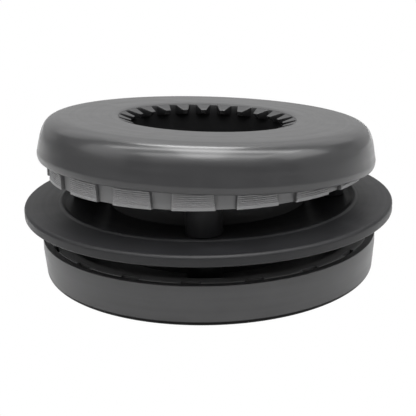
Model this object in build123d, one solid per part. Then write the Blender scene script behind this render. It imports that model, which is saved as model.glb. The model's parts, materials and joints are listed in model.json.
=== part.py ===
from build123d import *
import os
from math import cos, radians, sin, tan

# Desk grommet: a flange plate with a ribbed collar on four posts above it and another below it.
# A domed cap with a crown of flexible fingers pushes over the upper collar, and a bowl-shaped cap
# pushes over the lower one. Millimetres, +Z up, origin at the centre of the flat base.

# ---------------------------------------------------------------- driving dimensions
FIT_GAP = 0.3            # between pieces that move past each other
SEAM_GAP = 0.05          # between pieces that are fixed together side by side
CUT_PAST = 1.0           # how far a cutting shape runs past the faces it cuts

# flange plate, which lies on the desk
FLANGE_DIAMETER = 86.0
FLANGE_THICKNESS = 2.4
FLANGE_TOP_ROUND = 0.8
FLANGE_BOTTOM_ROUND = 0.4
SEAT_WIDTH = 2.7         # ring under the edge that lies on the desk
SEAT_STEP = 0.2          # underside inside that ring is this much higher
BEAD_DIAMETER = 68.9     # crest of the raised bead
BEAD_WIDTH = 1.3
BEAD_HEIGHT = 0.4
RECESS_DEPTH = 0.35      # dished floor inside the bead
RECESS_SLOPE = 0.6       # radial run from the bead to the floor

# lower cap, which drops through an 80 mm cut-out
LOWER_CAP_DIAMETER = 78.4
LOWER_CAP_WALL = 1.5
LOWER_CAP_HEIGHT = 9.3
LOWER_CAP_LAND = 2.5     # cylindrical band below the rim
LOWER_CAP_TAPER = 0.45   # radius lost from the band to the bottom corner
LOWER_CAP_CORNER_HEIGHT = 1.6
LOWER_CAP_CORNER_RUN = 2.0
LOWER_CAP_FLOOR = 1.5
LEDGE_WIDTH = 1.2        # ring inside that the lower collar's web sits on
LEDGE_INSET = 2.6        # from the ring to the bore
CABLE_MOUTH_DIAMETER = 44.6

# clear heights
UNDER_GAP = 5.4          # lower rim to the underside of the flange
UPPER_GAP = 7.2          # top of the flange to the free end of the upper collar

# ribbed collars
COLLAR_HEIGHT = 5.1
COLLAR_WALL = 1.9        # behind the recessed panels
COLLAR_WEB = 1.6
COLLAR_LEAD_IN = 0.5     # chamfer round the web's outer edge
PANEL_DEPTH = 0.95
BLOCK_COUNT = 18
BLOCK_ANGLE = 13.6       # degrees across one raised block
UPPER_FIRST_BLOCK_ANGLE = -94.6     # direction of the first block's middle
LOWER_FIRST_BLOCK_ANGLE = -86.0
BLOCK_DRAFT = 1.15       # degrees lost from a block between its free end and the web
RIDGE_PITCH = 0.42
RIDGE_DEPTH = 0.14
RIDGE_FLANK = 0.35       # share of the pitch on a ridge's steep underside
PLAIN_BAND = 1.0         # smooth band at the collar's free end
LOWER_COLLAR_FIT = 0.05  # running fit in the lower cap's bore

# posts and their through screws
POST_COUNT = 4
POST_CIRCLE_DIAMETER = 56.0
FIRST_POST_ANGLE = -92.0  # direction of the front post
POST_DIAMETER = 8.0
POST_DRAFT = 0.15        # radius lost from foot to head
POST_BORE = 3.3
POST_EDGE = 0.3
SCREW_DIAMETER = 3.0
SCREW_HEAD_DIAMETER = 5.5
SCREW_HEAD_HEIGHT = 1.7
SCREW_SOCKET = 2.0       # hexagon across flats
SCREW_SOCKET_DEPTH = 1.0
SCREW_TAIL = 0.3         # beyond the nut
SCREW_EDGE = 0.8
NUT_WIDTH = 5.5
NUT_HEIGHT = 2.0

# cable sleeve through the middle
SLEEVE_BORE = 44.6
SLEEVE_WALL = 1.0
SLEEVE_LIP = 1.0
SLEEVE_LIP_THICKNESS = 0.4
SLEEVE_TAIL = 1.2        # below the lower web

# top cap
TOP_CAP_DIAMETER = 78.2
TOP_CAP_HEIGHT = 9.5
TOP_CAP_SKIRT = 1.2      # wall round the bore
TOP_CAP_WALL = 1.5       # over the ceiling
TOP_CAP_OVERLAP = 0.5    # lip below the collar's free end when the cap is home
TOP_CAP_BORE_GAP = 0.65  # lets the cap rock on the collar
LIP_TURN_IN = 0.4        # radius lost from the crease down to the lip's foot
LIP_HEIGHT = 1.5         # up to the crease where the side begins
SIDE_TOP_INSET = 0.35    # radius lost from the crease to the shoulder's foot
SHOULDER_START = 3.3     # height of the shoulder's foot above the lip
SHOULDER_RUN = 5.75      # from the shoulder's foot in to the flat top
SHOULDER_FOOT_PULL = 3.4 # how far the shoulder keeps the side's direction
SHOULDER_TOP_PULL = 4.7  # how far it keeps the flat top's direction
CEILING_SHARE = 0.66     # run of the curve under the shoulder, as a share of the shoulder's
STOP_RIB_WIDTH = 1.2
STOP_RIB_INSET = 4.7      # from the cap's widest radius
CAP_TILT = 4.0           # degrees: pressed home on one side, still raised on the other
CAP_TILT_TOWARDS_ANGLE = 45.0   # direction of the side that is home

# finger crown
SLOT_COUNT = 24
FIRST_SLOT_ANGLE = 85.0         # direction of the first slot
FINGER_ROOT_DIAMETER = 40.9
FINGER_TIP_DIAMETER = 35.2
FINGER_FALL = 18.0       # degrees below the horizontal
FINGER_THICKNESS = 1.1
SLOT_ROOT_WIDTH = 1.55
SLOT_TIP_WIDTH = 3.0
CROWN_RIM_DIAMETER = 49.0
CROWN_RIM_THICKNESS = 1.2
CROWN_SKIRT_WALL = 1.0
CROWN_SKIRT_REACH = 4.6  # below the rim, inside the cable sleeve
CREST_ROLL = 1.6         # radial run of the rolled crest, which ends at the fingers' fall
CREST_SEAT = 0.2         # radial step from the finger roots out to the funnel's edge

# ---------------------------------------------------------------- heights and radii
RIM_Z = LOWER_CAP_HEIGHT
FLANGE_Z = RIM_Z + UNDER_GAP
UNDERSIDE_Z = FLANGE_Z + SEAT_STEP
FLANGE_TOP_Z = FLANGE_Z + FLANGE_THICKNESS
FLOOR_Z = FLANGE_TOP_Z - RECESS_DEPTH
UPPER_COLLAR_Z = FLANGE_TOP_Z + UPPER_GAP
UPPER_WEB_TOP_Z = UPPER_COLLAR_Z + COLLAR_HEIGHT
LOWER_COLLAR_Z = RIM_Z
LOWER_WEB_Z = LOWER_COLLAR_Z - COLLAR_HEIGHT
LIP_Z = UPPER_COLLAR_Z - TOP_CAP_OVERLAP
SIDE_TOP_Z = LIP_Z + SHOULDER_START
CAP_TOP_Z = LIP_Z + TOP_CAP_HEIGHT
CEILING_Z = CAP_TOP_Z - TOP_CAP_WALL
FUNNEL_EDGE_Z = CAP_TOP_Z - CREST_ROLL * tan(radians(FINGER_FALL / 2))

FLANGE_R = FLANGE_DIAMETER / 2
SEAT_R = FLANGE_R - SEAT_WIDTH
BEAD_R = BEAD_DIAMETER / 2
LOWER_CAP_R = LOWER_CAP_DIAMETER / 2
LOWER_BORE_R = LOWER_CAP_R - LOWER_CAP_WALL
LOWER_COLLAR_R = LOWER_BORE_R - LOWER_COLLAR_FIT
TOP_CAP_R = TOP_CAP_DIAMETER / 2
TOP_BORE_R = TOP_CAP_R - TOP_CAP_SKIRT
UPPER_COLLAR_R = TOP_BORE_R - TOP_CAP_BORE_GAP
SLEEVE_R = SLEEVE_BORE / 2 + SLEEVE_WALL
CENTRE_HOLE_R = SLEEVE_R + SEAM_GAP
POST_CIRCLE_R = POST_CIRCLE_DIAMETER / 2
FINGER_ROOT_R = FINGER_ROOT_DIAMETER / 2
FINGER_TIP_R = FINGER_TIP_DIAMETER / 2
FUNNEL_EDGE_R = FINGER_ROOT_R + CREST_SEAT

# the top cap rocks about the collar's top edge, half a gap above it
PIVOT_R = TOP_CAP_R - STOP_RIB_INSET
PIVOT_Z = UPPER_WEB_TOP_Z + FIT_GAP / 2
UPWARDS = (Align.CENTER, Align.CENTER, Align.MIN)


# ---------------------------------------------------------------- helpers
def turned(outline):
    """Revolve an outline of (radius, height) points and curves about the vertical axis."""
    return revolve(Plane.XZ * make_face(outline), Axis.Z)


def quarter(middle, run, rise, start):
    """Quarter of an ellipse, anticlockwise from the angle start."""
    return EllipticalCenterArc(middle, run, rise, start, arc_size=90)


def ring(inner, outer, bottom, top):
    """Plain ring between two radii and two heights."""
    return turned(Polyline((inner, bottom), (outer, bottom), (outer, top), (inner, top), close=True))


def upright(radius, bottom, top):
    """Cylinder about the vertical axis."""
    return Pos(0, 0, bottom) * Cylinder(radius, top - bottom, align=UPWARDS)


def hexagon(across_flats, bottom, top):
    """Hexagonal prism about the vertical axis."""
    face = RegularPolygon(across_flats / 2, 6, major_radius=False)
    return extrude(Pos(0, 0, bottom) * face, top - bottom)


def post_turns():
    """Directions of the posts, in degrees."""
    return [FIRST_POST_ANGLE + 360 / POST_COUNT * i for i in range(POST_COUNT)]


def at_posts(shape):
    """Copies of a shape drawn on the axis, one at each post."""
    return [Rot(0, 0, turn) * Pos(POST_CIRCLE_R, 0, 0) * shape for turn in post_turns()]


def sector(angle, inner, outer, height):
    """Face across +X between two radii, with radial sides."""
    half = radians(angle / 2)
    near = (inner * cos(half), inner * sin(half))
    far = (outer * cos(half), outer * sin(half))
    face = make_face(Polyline(near, far, (far[0], -far[1]), (near[0], -near[1]), close=True))
    return Pos(0, 0, height) * face


# ---------------------------------------------------------------- flange plate
def flange_plate():
    """Flat disc with a raised bead round a shallow recess, a central opening and a seat ring."""
    bead_in = BEAD_R - BEAD_WIDTH / 2
    bead_out = BEAD_R + BEAD_WIDTH / 2
    outline = Line((FLANGE_R, FLANGE_TOP_Z), (bead_out, FLANGE_TOP_Z))
    outline += ThreePointArc(
        (bead_out, FLANGE_TOP_Z), (BEAD_R, FLANGE_TOP_Z + BEAD_HEIGHT), (bead_in, FLANGE_TOP_Z)
    )
    outline += Polyline(
        (bead_in, FLANGE_TOP_Z),
        (bead_in - RECESS_SLOPE, FLOOR_Z),
        (CENTRE_HOLE_R, FLOOR_Z),
        (CENTRE_HOLE_R, UNDERSIDE_Z),
        (SEAT_R, UNDERSIDE_Z),
        (SEAT_R, FLANGE_Z),
        (FLANGE_R, FLANGE_Z),
        (FLANGE_R, FLANGE_TOP_Z),
    )
    plate = turned(outline)
    rims = plate.edges().filter_by(GeomType.CIRCLE).sort_by(SortBy.RADIUS)[-2:].sort_by(Axis.Z)
    plate = fillet(rims[-1], FLANGE_TOP_ROUND)
    rims = plate.edges().filter_by(GeomType.CIRCLE).sort_by(SortBy.RADIUS)[-2:].sort_by(Axis.Z)
    plate = fillet(rims[0], FLANGE_BOTTOM_ROUND)
    return plate - at_posts(upright(POST_BORE / 2, FLANGE_Z - CUT_PAST, FLANGE_TOP_Z + CUT_PAST))


# ---------------------------------------------------------------- ribbed collars
def collar(radius, first_block):
    """Ribbed collar standing on its free end at height 0, with its web at the top."""
    panel_r = radius - PANEL_DEPTH
    inner_r = panel_r - COLLAR_WALL
    ridge_top = COLLAR_HEIGHT - COLLAR_LEAD_IN
    outline = [(inner_r, 0), (radius, 0)]
    for i in range(int((ridge_top - PLAIN_BAND) / RIDGE_PITCH)):
        foot = PLAIN_BAND + RIDGE_PITCH * i
        outline.append((radius, foot))
        outline.append((radius - RIDGE_DEPTH, foot + RIDGE_PITCH * RIDGE_FLANK))
    outline += [
        (radius, ridge_top),
        (radius - COLLAR_LEAD_IN, COLLAR_HEIGHT),
        (CENTRE_HOLE_R, COLLAR_HEIGHT),
        (CENTRE_HOLE_R, COLLAR_HEIGHT - COLLAR_WEB),
        (inner_r, COLLAR_HEIGHT - COLLAR_WEB),
    ]
    body = turned(Polyline(*outline, close=True))
    pitch = 360 / BLOCK_COUNT
    gap = pitch - BLOCK_ANGLE
    panel = loft([
        sector(gap, panel_r, radius + CUT_PAST, 0),
        sector(gap + BLOCK_DRAFT, panel_r, radius + CUT_PAST, COLLAR_HEIGHT),
    ])
    body -= [Rot(0, 0, first_block + pitch * (i + 0.5)) * panel for i in range(BLOCK_COUNT)]
    return body - at_posts(upright(POST_BORE / 2, 0, COLLAR_HEIGHT + CUT_PAST))


def upper_collar():
    """Collar that hangs open side down above the flange."""
    return Pos(0, 0, UPPER_COLLAR_Z) * collar(UPPER_COLLAR_R, UPPER_FIRST_BLOCK_ANGLE)


def lower_collar():
    """Collar that stands open side up inside the lower cap."""
    return Pos(0, 0, LOWER_COLLAR_Z) * mirror(collar(LOWER_COLLAR_R, LOWER_FIRST_BLOCK_ANGLE), Plane.XY)


# ---------------------------------------------------------------- posts and fasteners
def post(foot_z, head_z):
    """Tapered tube from the flange, at foot_z, to a collar's web, at head_z."""
    height = abs(head_z - foot_z)
    tube = Cone(POST_DIAMETER / 2, POST_DIAMETER / 2 - POST_DRAFT, height, align=UPWARDS)
    tube = chamfer(tube.edges().filter_by(GeomType.CIRCLE), POST_EDGE)
    tube -= upright(POST_BORE / 2, -CUT_PAST, height + CUT_PAST)
    if head_z < foot_z:
        tube = mirror(tube, Plane.XY)
    return Pos(0, 0, foot_z) * tube


def through_screws():
    """Long screws that clamp both collars and all the posts to the flange."""
    head_z = UPPER_WEB_TOP_Z + SCREW_HEAD_HEIGHT
    head = upright(SCREW_HEAD_DIAMETER / 2, UPPER_WEB_TOP_Z, head_z)
    head = fillet(head.edges().filter_by(GeomType.CIRCLE).sort_by(Axis.Z)[-1], SCREW_EDGE)
    head -= hexagon(SCREW_SOCKET, head_z - SCREW_SOCKET_DEPTH, head_z + CUT_PAST)
    shank = upright(SCREW_DIAMETER / 2, LOWER_WEB_Z - NUT_HEIGHT - SCREW_TAIL, UPPER_WEB_TOP_Z)
    return Compound(children=at_posts(head + shank))


def lock_nuts():
    """Hexagon nuts under the lower collar's web."""
    body = hexagon(NUT_WIDTH, LOWER_WEB_Z - NUT_HEIGHT, LOWER_WEB_Z)
    body -= upright(SCREW_DIAMETER / 2 + SEAM_GAP, 0, LOWER_WEB_Z + CUT_PAST)
    return Compound(children=at_posts(body))


# ---------------------------------------------------------------- cable sleeve
def cable_sleeve():
    """Thin tube through both webs and the flange, with a lip on the upper web."""
    bore = SLEEVE_BORE / 2
    tube = ring(bore, SLEEVE_R, LOWER_WEB_Z - SLEEVE_TAIL, UPPER_WEB_TOP_Z)
    lip = ring(bore, SLEEVE_R + SLEEVE_LIP, UPPER_WEB_TOP_Z, UPPER_WEB_TOP_Z + SLEEVE_LIP_THICKNESS)
    return tube + lip


# ---------------------------------------------------------------- top cap
def as_tilted(shape):
    """A top cap piece, drawn level and home, rocked up about the side that is home."""
    towards = radians(CAP_TILT_TOWARDS_ANGLE)
    pivot = (PIVOT_R * cos(towards), PIVOT_R * sin(towards), PIVOT_Z)
    return shape.rotate(Axis(pivot, (-sin(towards), cos(towards), 0)), CAP_TILT)


def top_cap_shell():
    """Domed ring with a turned-in lip, a rolled crest and a stop rib under its ceiling."""
    side_top_r = TOP_CAP_R - SIDE_TOP_INSET
    flat_r = side_top_r - SHOULDER_RUN
    crest_r = FUNNEL_EDGE_R + CREST_ROLL
    lip_r = TOP_CAP_R - LIP_TURN_IN
    crease_z = LIP_Z + LIP_HEIGHT
    side = Vector(side_top_r - TOP_CAP_R, SIDE_TOP_Z - crease_z).normalized()
    foot_pull = Vector(side_top_r, SIDE_TOP_Z) + side * SHOULDER_FOOT_PULL
    outline = Line((FUNNEL_EDGE_R, LIP_Z), (lip_r, LIP_Z))
    outline += quarter((lip_r, crease_z), LIP_TURN_IN, LIP_HEIGHT, -90)
    outline += Line((TOP_CAP_R, crease_z), (side_top_r, SIDE_TOP_Z))
    outline += Bezier(
        (side_top_r, SIDE_TOP_Z), foot_pull, (flat_r + SHOULDER_TOP_PULL, CAP_TOP_Z), (flat_r, CAP_TOP_Z)
    )
    outline += Line((flat_r, CAP_TOP_Z), (crest_r, CAP_TOP_Z))
    outline += TangentArc((crest_r, CAP_TOP_Z), (FUNNEL_EDGE_R, FUNNEL_EDGE_Z), tangent=(-1, 0))
    outline += Line((FUNNEL_EDGE_R, FUNNEL_EDGE_Z), (FUNNEL_EDGE_R, LIP_Z))
    dome = turned(outline)

    ceiling_r = TOP_BORE_R - SHOULDER_RUN * CEILING_SHARE
    hollow_r = FUNNEL_EDGE_R - CUT_PAST
    hollow_z = LIP_Z - CUT_PAST
    hollow = Polyline(
        (ceiling_r, CEILING_Z), (hollow_r, CEILING_Z), (hollow_r, hollow_z), (TOP_BORE_R, hollow_z),
        (TOP_BORE_R, SIDE_TOP_Z),
    )
    hollow += quarter((ceiling_r, SIDE_TOP_Z), TOP_BORE_R - ceiling_r, CEILING_Z - SIDE_TOP_Z, 0)
    rib = ring(PIVOT_R - STOP_RIB_WIDTH, PIVOT_R, UPPER_WEB_TOP_Z + FIT_GAP, CEILING_Z + TOP_CAP_WALL / 2)
    return as_tilted(dome - turned(hollow) + rib)


def finger_crown():
    """Ring of tapered fingers falling towards the middle, with a rim and a skirt below them."""
    edge_r = FUNNEL_EDGE_R - SEAM_GAP
    tip_z = FUNNEL_EDGE_Z - (edge_r - FINGER_TIP_R) * tan(radians(FINGER_FALL))
    rim_z = CEILING_Z - CROWN_RIM_THICKNESS
    rim_r = CROWN_RIM_DIAMETER / 2
    skirt_z = rim_z - CROWN_SKIRT_REACH
    skirt_r = FINGER_ROOT_R + CROWN_SKIRT_WALL
    crown = turned(Polyline(
        (FINGER_TIP_R, tip_z - FINGER_THICKNESS),
        (FINGER_ROOT_R, rim_z),
        (FINGER_ROOT_R, skirt_z),
        (skirt_r, skirt_z),
        (skirt_r, rim_z),
        (rim_r, rim_z),
        (rim_r, CEILING_Z),
        (edge_r, CEILING_Z),
        (edge_r, FUNNEL_EDGE_Z),
        (FINGER_TIP_R, tip_z),
        close=True,
    ))
    flare = (SLOT_TIP_WIDTH - SLOT_ROOT_WIDTH) / (FINGER_ROOT_R - FINGER_TIP_R)
    past_r = FINGER_TIP_R - CUT_PAST
    past = (SLOT_TIP_WIDTH + flare * CUT_PAST) / 2
    root = SLOT_ROOT_WIDTH / 2
    plan = make_face(Polyline(
        (FINGER_ROOT_R, root), (past_r, past), (past_r, -past), (FINGER_ROOT_R, -root), close=True
    ))
    slot = extrude(Pos(0, 0, LIP_Z) * plan, TOP_CAP_HEIGHT)
    crown -= [Rot(0, 0, FIRST_SLOT_ANGLE + 360 / SLOT_COUNT * i) * slot for i in range(SLOT_COUNT)]
    return as_tilted(crown)


# ---------------------------------------------------------------- lower cap
def lower_cap():
    """Bowl with a flat rim, a rounded bottom edge and a cable mouth in its floor."""
    side_r = LOWER_CAP_R - LOWER_CAP_TAPER
    base_r = side_r - LOWER_CAP_CORNER_RUN
    mouth_r = CABLE_MOUTH_DIAMETER / 2
    outline = Polyline(
        (base_r, 0), (mouth_r, 0), (mouth_r, RIM_Z), (LOWER_CAP_R, RIM_Z),
        (LOWER_CAP_R, RIM_Z - LOWER_CAP_LAND), (side_r, LOWER_CAP_CORNER_HEIGHT),
    )
    outline += quarter(
        (base_r, LOWER_CAP_CORNER_HEIGHT), LOWER_CAP_CORNER_RUN, LOWER_CAP_CORNER_HEIGHT, -90
    )
    bowl = turned(outline)

    hollow_r = mouth_r - CUT_PAST
    hollow_z = RIM_Z + CUT_PAST
    corner_top = LOWER_CAP_CORNER_HEIGHT + LOWER_CAP_FLOOR
    hollow = Polyline(
        (LOWER_BORE_R, corner_top), (LOWER_BORE_R, hollow_z), (hollow_r, hollow_z),
        (hollow_r, LOWER_CAP_FLOOR), (base_r, LOWER_CAP_FLOOR),
    )
    hollow += quarter((base_r, corner_top), LOWER_BORE_R - base_r, LOWER_CAP_CORNER_HEIGHT, -90)
    ledge_r = LOWER_BORE_R - LEDGE_INSET
    ledge = ring(ledge_r - LEDGE_WIDTH, ledge_r, LOWER_CAP_FLOOR, LOWER_WEB_Z - FIT_GAP)
    return bowl - turned(hollow) + ledge


# ---------------------------------------------------------------- write the pieces
def main():
    pieces = {
        "flange_plate": flange_plate(),
        "upper_collar": upper_collar(),
        "lower_collar": lower_collar(),
        "cable_sleeve": cable_sleeve(),
        "through_screws": through_screws(),
        "lock_nuts": lock_nuts(),
        "top_cap_shell": top_cap_shell(),
        "finger_crown": finger_crown(),
        "lower_cap": lower_cap(),
    }
    uppers = at_posts(post(FLOOR_Z, UPPER_WEB_TOP_Z - COLLAR_WEB))
    lowers = at_posts(post(UNDERSIDE_Z, LOWER_WEB_Z + COLLAR_WEB))
    for side, upper, lower in zip(("front", "right", "back", "left"), uppers, lowers):
        pieces[f"upper_post_{side}"] = upper
        pieces[f"lower_post_{side}"] = lower
    os.makedirs("parts", exist_ok=True)
    for name, shape in pieces.items():
        export_step(shape, f"parts/{name}.step")


main()
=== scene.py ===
"""Finished look of the desk grommet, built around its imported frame.

Every turned, ribbed and fingered piece is made again here as a fine mesh in the place of its
frame node, with moulded finishes, studio lights and the camera. Sizes are in millimetres and
are turned into metres as a mesh is made. +Z is up and -Y is the front.
"""

from __future__ import annotations

import json
import logging
import math
from contextlib import contextmanager
from dataclasses import dataclass, field
from enum import Enum
from typing import Any, ClassVar, Iterable, Iterator, Sequence

import bmesh
import bpy
from mathutils import Matrix, Vector

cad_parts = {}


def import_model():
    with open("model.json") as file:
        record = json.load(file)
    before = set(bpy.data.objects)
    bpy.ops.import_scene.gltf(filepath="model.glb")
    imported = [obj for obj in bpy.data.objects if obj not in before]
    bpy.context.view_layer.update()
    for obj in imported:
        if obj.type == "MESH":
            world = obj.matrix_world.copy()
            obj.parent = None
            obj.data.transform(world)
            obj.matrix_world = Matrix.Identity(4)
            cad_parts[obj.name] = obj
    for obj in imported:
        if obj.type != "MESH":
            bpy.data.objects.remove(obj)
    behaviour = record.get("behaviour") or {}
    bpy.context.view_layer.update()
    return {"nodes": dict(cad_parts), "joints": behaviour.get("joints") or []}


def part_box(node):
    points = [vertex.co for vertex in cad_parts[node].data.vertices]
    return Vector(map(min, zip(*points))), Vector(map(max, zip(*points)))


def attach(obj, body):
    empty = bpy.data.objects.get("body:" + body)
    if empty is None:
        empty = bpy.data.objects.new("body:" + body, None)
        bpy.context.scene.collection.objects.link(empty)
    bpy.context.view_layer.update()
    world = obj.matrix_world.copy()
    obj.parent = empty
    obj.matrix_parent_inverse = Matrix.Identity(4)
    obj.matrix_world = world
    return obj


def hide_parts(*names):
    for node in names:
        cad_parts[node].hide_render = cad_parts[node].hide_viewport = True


LOG = logging.getLogger("desk_grommet")
MM = 0.001
MERGE = 1e-7         # metres within which points count as one
SMOOTH_ANGLE = math.radians(34)
SMOOTHEST = 0.285    # least roughness: broad faces that are smoother come out speckled
WHITE = (1.0, 1.0, 1.0, 1.0)

Point = tuple[float, float]
Space = tuple[float, float, float]
Piece = bpy.types.Object


# ---- outlines
def rounded(corners: Sequence[Space], steps: int = 4) -> list[Point]:
    """Close a row of corners into an outline, each corner rounded by its own radius.

    Args:
        corners: (radius, height, rounding) of each corner, in order round the outline.
        steps: straight pieces in each rounding.

    Returns:
        The points of the outline.
    """
    points: list[Point] = []
    count = len(corners)
    for i, (r, z, rounding) in enumerate(corners):
        here = Vector((r, z))
        if rounding <= 0:
            points.append((r, z))
            continue
        back = (Vector(corners[i - 1][:2]) - here).normalized()
        on = (Vector(corners[(i + 1) % count][:2]) - here).normalized()
        half = back.angle(on) / 2
        middle = here + (back + on).normalized() * rounding / math.sin(half)
        first = here + back * rounding / math.tan(half) - middle
        last = here + on * rounding / math.tan(half) - middle
        sweep = first.angle_signed(last)
        for step in range(steps + 1):
            turned = first.copy()
            turned.rotate(Matrix.Rotation(-sweep * step / steps, 2))
            points.append((middle.x + turned.x, middle.y + turned.y))
    return points


def swell(middle: Point, run: float, rise: float, start: float, steps: int) -> list[Point]:
    """Quarter of an ellipse, anticlockwise.

    Args:
        middle: centre of the ellipse as (radius, height).
        run: half width.
        rise: half height.
        start: angle of the first point, in degrees.
        steps: straight pieces.

    Returns:
        The points from start to start + 90 degrees.
    """
    angles = [math.radians(start + 90 * step / steps) for step in range(steps + 1)]
    return [(middle[0] + run * math.cos(a), middle[1] + rise * math.sin(a)) for a in angles]


def eased(start: Point, start_pull: Point, end_pull: Point, end: Point, steps: int) -> list[Point]:
    """Cubic curve that leaves start towards start_pull and comes to end from end_pull.

    Args:
        start: first point.
        start_pull: first control point.
        end_pull: second control point.
        end: last point.
        steps: straight pieces.

    Returns:
        The points from start to end.
    """
    corners = (start, start_pull, end_pull, end)
    points: list[Point] = []
    for step in range(steps + 1):
        t = step / steps
        shares = ((1 - t) ** 3, 3 * (1 - t) ** 2 * t, 3 * (1 - t) * t * t, t**3)
        r, z = (sum(share * c[axis] for share, c in zip(shares, corners)) for axis in (0, 1))
        points.append((r, z))
    return points


def divided(start: Point, end: Point, parts: int) -> list[Point]:
    """Points inside a straight run, without its two ends."""
    return [
        (start[0] + (end[0] - start[0]) * i / parts, start[1] + (end[1] - start[1]) * i / parts)
        for i in range(1, parts)
    ]


def polar(radius: float, degrees: float, height: float) -> Space:
    """Point at a radius, direction and height."""
    angle = math.radians(degrees)
    return radius * math.cos(angle), radius * math.sin(angle), height


# ---- meshes
@contextmanager
def opened(mesh: bpy.types.Mesh) -> Iterator[bmesh.types.BMesh]:
    """Open a mesh for editing with its doubles merged, and write it back.

    Args:
        mesh: the mesh, changed in place.

    Yields:
        The editable mesh.
    """
    bm = bmesh.new()
    bm.from_mesh(mesh)
    bmesh.ops.remove_doubles(bm, verts=bm.verts, dist=MERGE)
    yield bm
    bm.to_mesh(mesh)
    bm.free()


def finish_mesh(mesh: bpy.types.Mesh) -> None:
    """Drop empty faces, turn the rest outwards and shade smooth with crisp corners."""
    with opened(mesh) as bm:
        bmesh.ops.dissolve_degenerate(bm, edges=bm.edges, dist=MERGE / 10)
        bmesh.ops.recalc_face_normals(bm, faces=bm.faces)
    mesh.shade_smooth()
    mesh.set_sharp_from_angle(angle=SMOOTH_ANGLE)


def placed(name: str, verts: Iterable[Space], faces: Iterable[Sequence[int]]) -> Piece:
    """Make an object from points in millimetres.

    Args:
        name: the piece's name.
        verts: its points.
        faces: its faces, as point numbers.

    Returns:
        The object, linked to the scene, at the origin.
    """
    mesh = bpy.data.meshes.new(name)
    mesh.from_pydata([Vector(v) * MM for v in verts], [], list(faces))
    mesh.validate()
    obj = bpy.data.objects.new(name, mesh)
    bpy.context.scene.collection.objects.link(obj)
    return obj


def turned(name: str, outline: Sequence[Point], segments: int = 288) -> Piece:
    """Revolve a closed outline about the vertical axis.

    Args:
        name: the piece's name.
        outline: (radius, height) points in millimetres.
        segments: straight pieces round the axis.

    Returns:
        The closed, smooth shaded object.
    """
    count = len(outline)
    verts = [polar(r, 360 * i / segments, z) for i in range(segments) for r, z in outline]
    faces = []
    for i in range(segments):
        here, there = i * count, (i + 1) % segments * count
        for k in range(count):
            n = (k + 1) % count
            faces.append((here + k, there + k, there + n, here + n))
    obj = placed(name, verts, faces)
    finish_mesh(obj.data)
    return obj


def softened(obj: Piece, width: float, angle: float) -> None:
    """Round the corners of a mesh that are sharper than an angle, apart from its open ends.

    Args:
        obj: the object, changed in place.
        width: width of the rounding in millimetres.
        angle: least angle between two faces, in degrees.
    """
    least = math.radians(angle)
    with opened(obj.data) as bm:
        bmesh.ops.recalc_face_normals(bm, faces=bm.faces)
        edges = [e for e in bm.edges if len(e.link_faces) == 2 and e.calc_face_angle() > least]
        bmesh.ops.bevel(
            bm, geom=edges, offset=width * MM, segments=2, profile=0.5,
            affect="EDGES", clamp_overlap=True,
        )


class Weld:
    """Collects faces by the places of their corners, so that neighbours share points."""

    KEYS_PER_MM = 1e5    # fineness at which two places count as one

    def __init__(self) -> None:
        """Start with no points and no faces."""
        self.verts: list[Space] = []
        self.faces: list[list[int]] = []
        self.known: dict[tuple[int, int, int], int] = {}

    def point(self, place: Space) -> int:
        """Number of the point at a place, made on first use."""
        key = tuple(round(c * self.KEYS_PER_MM) for c in place)
        if key not in self.known:
            self.known[key] = len(self.verts)
            self.verts.append(place)
        return self.known[key]

    def face(self, *places: Space) -> None:
        """Add a face, unless its corners fall together."""
        numbers = [self.point(p) for p in places]
        kept = [n for i, n in enumerate(numbers) if n != numbers[i - 1]]
        if len(kept) > 2:
            self.faces.append(kept)

    def grid(self, rows: Sequence[Sequence[Space]]) -> None:
        """Add four-sided faces between neighbouring rows of places."""
        for low, high in zip(rows, rows[1:]):
            for k in range(len(low) - 1):
                self.face(low[k], low[k + 1], high[k + 1], high[k])

    def build(self, name: str) -> Piece:
        """Make the object."""
        return placed(name, self.verts, self.faces)


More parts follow.
